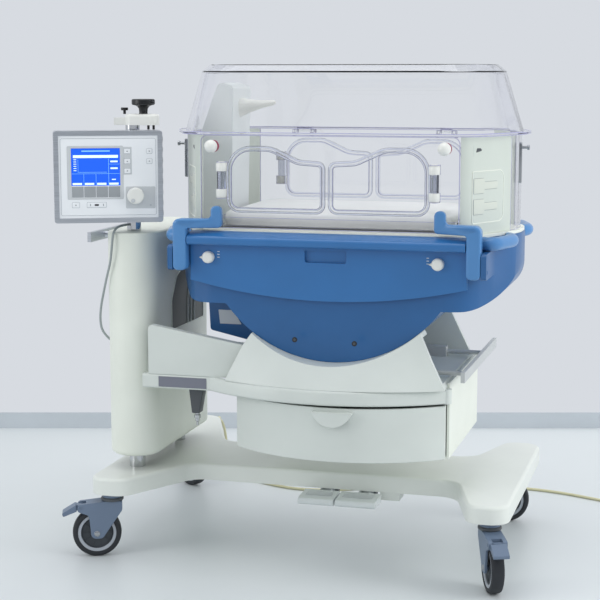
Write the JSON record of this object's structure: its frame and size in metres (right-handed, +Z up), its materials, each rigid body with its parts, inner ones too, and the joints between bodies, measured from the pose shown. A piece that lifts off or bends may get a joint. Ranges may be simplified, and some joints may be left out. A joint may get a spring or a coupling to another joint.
{
  "type": "infant incubator",
  "caption": "Infant incubator on a height-adjustable trolley, with a tilting tub, a clear hood with hand ports, a monitor and a drawer.",
  "frame": {"origin": "on the floor, in the middle of the footprint, without the mains lead", "axes": "+X to the user's right along the tub, +Y towards the rear, +Z up; the user stands at -Y"},
  "size_m": [1.6255, 1.0392, 1.25],
  "materials": {
    "white": "satin powder coat on cast aluminium",
    "cream": "fine satin",
    "blue": "satin moulded plastic",
    "midblue": "satin moulded plastic",
    "clear": "clear acrylic",
    "chrome": "polished",
    "steel": "brushed",
    "silver": "anodised satin",
    "fascia": "fine satin",
    "screen": "lit display",
    "greyblue": "satin",
    "tyre": "grey ring on dark tread",
    "black": "satin",
    "dark": "satin",
    "palegrey": "satin",
    "foam": "smooth cover",
    "cord": "satin",
    "leadgrey": "satin"
  },
  "bodies": {
    "base": {"base_frame": "white", "lift_posts": "chrome", "pedal_bracket": "dark", "mains_cord": "cord", "mains_coil": "cord", "mains_plug": "cord"},
    "swivel_front_left": {"fork_front_left": "greyblue"},
    "roller_front_left": {"wheel_front_left": "tyre"},
    "lever_front_left": {"brake_front_left": "black"},
    "swivel_front_right": {"fork_front_right": "greyblue"},
    "roller_front_right": {"wheel_front_right": "tyre"},
    "lever_front_right": {"brake_front_right": "black"},
    "swivel_rear_left": {"fork_rear_left": "greyblue"},
    "roller_rear_left": {"wheel_rear_left": "tyre"},
    "lever_rear_left": {"brake_rear_left": "black"},
    "swivel_rear_right": {"fork_rear_right": "greyblue"},
    "roller_rear_right": {"wheel_rear_right": "tyre"},
    "lever_rear_right": {"brake_rear_right": "black"},
    "pedal_raise": {"pedal_raise": "cream"},
    "pedal_lower": {"pedal_lower": "cream"},
    "lift": {"column_cover": "cream", "lift_guides": "steel", "side_rail": "silver", "monitor_mast": "chrome", "mast_clamp": "cream", "cradle": "white", "bumper": "cream", "bumper_insert": "palegrey", "drawer_housing": "cream", "right_rail": "steel", "line_hook": "dark", "monitor_cable": "leadgrey"},
    "clamp_screw": {"clamp_knob": "black"},
    "drawer": {"drawer": "cream"},
    "monitor": {"monitor_frame": "silver", "monitor_fascia": "fascia", "monitor_screen": "screen"},
    "menu_knob": {"monitor_knob": "cream"},
    "tub": {"tub": "blue", "front_panel": "blue", "corner_handles": "midblue", "deck": "cream", "mattress_tray": "clear", "mattress": "foam", "end_panels": "cream", "end_windows": "clear", "rear_wall": "clear", "sensor_module": "cream"},
    "fan": {"fan_wheel": "black"},
    "front_door": {"door": "clear", "door_arms": "midblue"},
    "port_front_left": {"port_front_left": "clear"},
    "port_front_right": {"port_front_right": "clear"},
    "port_rear_left": {"port_rear_left": "clear"},
    "port_rear_right": {"port_rear_right": "clear"},
    "latch_knob_left": {"latch_knob_left": "cream"},
    "latch_knob_right": {"latch_knob_right": "cream"},
    "tilt_knob_left": {"tilt_knob_left": "cream"},
    "tilt_knob_right": {"tilt_knob_right": "cream"},
    "canopy": {"canopy": "clear"}
  },
  "joints": [
    {"name": "swivel_front_left_turn", "type": "hinge", "parent": "base", "child": "swivel_front_left", "pos_m": [-0.456, -0.321, 0.15], "axis": [0, 0, 1], "continuous": true},
    {"name": "roller_front_left_spin", "type": "hinge", "parent": "swivel_front_left", "child": "roller_front_left", "pos_m": [-0.49296, -0.33631, 0.0625], "axis": [0.3827, -0.9239, 0], "continuous": true},
    {"name": "lever_front_left_press", "type": "hinge", "parent": "swivel_front_left", "child": "lever_front_left", "pos_m": [-0.52991, -0.35161, 0.13], "axis": [0.3827, -0.9239, 0], "range_deg": [0, 15]},
    {"name": "swivel_front_right_turn", "type": "hinge", "parent": "base", "child": "swivel_front_right", "pos_m": [0.517, -0.321, 0.15], "axis": [0, 0, 1], "continuous": true},
    {"name": "roller_front_right_spin", "type": "hinge", "parent": "swivel_front_right", "child": "roller_front_right", "pos_m": [0.53166, -0.35822, 0.0625], "axis": [0.9304, 0.3665, 0], "continuous": true},
    {"name": "lever_front_right_press", "type": "hinge", "parent": "swivel_front_right", "child": "lever_front_right", "pos_m": [0.54632, -0.39543, 0.13], "axis": [0.9304, 0.3665, 0], "range_deg": [0, 15]},
    {"name": "swivel_rear_left_turn", "type": "hinge", "parent": "base", "child": "swivel_rear_left", "pos_m": [-0.456, 0.364, 0.15], "axis": [0, 0, 1], "continuous": true},
    {"name": "roller_rear_left_spin", "type": "hinge", "parent": "swivel_rear_left", "child": "roller_rear_left", "pos_m": [-0.49011, 0.3849, 0.0625], "axis": [-0.5225, -0.8526, 0], "continuous": true},
    {"name": "lever_rear_left_press", "type": "hinge", "parent": "swivel_rear_left", "child": "lever_rear_left", "pos_m": [-0.52421, 0.4058, 0.13], "axis": [-0.5225, -0.8526, 0], "range_deg": [0, 15]},
    {"name": "swivel_rear_right_turn", "type": "hinge", "parent": "base", "child": "swivel_rear_right", "pos_m": [0.517, 0.26, 0.15], "axis": [0, 0, 1], "continuous": true},
    {"name": "roller_rear_right_spin", "type": "hinge", "parent": "swivel_rear_right", "child": "roller_rear_right", "pos_m": [0.4771, 0.25721, 0.0625], "axis": [0.0698, -0.9976, 0], "continuous": true},
    {"name": "lever_rear_right_press", "type": "hinge", "parent": "swivel_rear_right", "child": "lever_rear_right", "pos_m": [0.43719, 0.25442, 0.13], "axis": [0.0698, -0.9976, 0], "range_deg": [0, 15]},
    {"name": "pedal_raise_press", "type": "hinge", "parent": "base", "child": "pedal_raise", "pos_m": [0.06, -0.072, 0.15], "axis": [1, 0, 0], "range_deg": [0, 8], "stiffness_Nm_per_rad": 8, "springref_deg": -6.88},
    {"name": "pedal_lower_press", "type": "hinge", "parent": "base", "child": "pedal_lower", "pos_m": [0.1625, -0.072, 0.15], "axis": [1, 0, 0], "range_deg": [0, 8], "stiffness_Nm_per_rad": 8, "springref_deg": -6.88},
    {"name": "lift_raise", "type": "slide", "parent": "base", "child": "lift", "axis": [0, 0, 1], "range_m": [0, 0.2]},
    {"name": "clamp_screw_turn", "type": "hinge", "parent": "lift", "child": "clamp_screw", "pos_m": [-0.396, -0.217, 1.14], "axis": [0, 0, 1], "continuous": true},
    {"name": "drawer_slide", "type": "slide", "parent": "lift", "child": "drawer", "axis": [0, -1, 0], "range_m": [0, 0.3]},
    {"name": "monitor_swivel", "type": "hinge", "parent": "lift", "child": "monitor", "pos_m": [-0.426, -0.217, 0.95], "axis": [0, 0, -1], "range_deg": [-10, 80]},
    {"name": "menu_knob_turn", "type": "hinge", "parent": "monitor", "child": "menu_knob", "pos_m": [-0.39219, -0.2895, 0.925], "axis": [0.4226, -0.9063, 0], "continuous": true},
    {"name": "tub_tilt", "type": "hinge", "parent": "lift", "child": "tub", "pos_m": [0.118, -0.041, 0.865], "axis": [0, 1, 0], "range_deg": [-12, 12]},
    {"name": "fan_spin", "type": "hinge", "parent": "tub", "child": "fan", "pos_m": [0.106, -0.041, 0.78], "axis": [0, 0, 1], "continuous": true},
    {"name": "front_door_fold", "type": "hinge", "parent": "tub", "child": "front_door", "pos_m": [0.106, -0.33, 0.765], "axis": [1, 0, 0], "range_deg": [0, 120]},
    {"name": "port_front_left_swing", "type": "hinge", "parent": "front_door", "child": "port_front_left", "pos_m": [-0.158, -0.312, 0.97], "axis": [0, 0, -1], "range_deg": [0, 150]},
    {"name": "port_front_right_swing", "type": "hinge", "parent": "front_door", "child": "port_front_right", "pos_m": [0.37, -0.312, 0.97], "axis": [0, 0, 1], "range_deg": [0, 150]},
    {"name": "port_rear_left_swing", "type": "hinge", "parent": "tub", "child": "port_rear_left", "pos_m": [-0.158, 0.2235, 0.97], "axis": [0, 0, 1], "range_deg": [0, 150]},
    {"name": "port_rear_right_swing", "type": "hinge", "parent": "tub", "child": "port_rear_right", "pos_m": [0.37, 0.2235, 0.97], "axis": [0, 0, -1], "range_deg": [0, 150]},
    {"name": "latch_knob_left_turn", "type": "hinge", "parent": "front_door", "child": "latch_knob_left", "pos_m": [-0.182, -0.3, 1.052], "axis": [0, -1, 0], "range_deg": [0, 90]},
    {"name": "latch_knob_right_turn", "type": "hinge", "parent": "front_door", "child": "latch_knob_right", "pos_m": [0.394, -0.3, 1.052], "axis": [0, 1, 0], "range_deg": [0, 90]},
    {"name": "tilt_knob_left_turn", "type": "hinge", "parent": "tub", "child": "tilt_knob_left", "pos_m": [-0.191, -0.32, 0.78], "axis": [0, 1, 0], "range_deg": [0, 90]},
    {"name": "tilt_knob_right_turn", "type": "hinge", "parent": "tub", "child": "tilt_knob_right", "pos_m": [0.382, -0.32, 0.78], "axis": [0, 1, 0], "range_deg": [0, 90]},
    {"name": "canopy_lift", "type": "hinge", "parent": "tub", "child": "canopy", "pos_m": [0.106, 0.233, 1.078], "axis": [-1, 0, 0], "range_deg": [0, 90]}
  ]
}
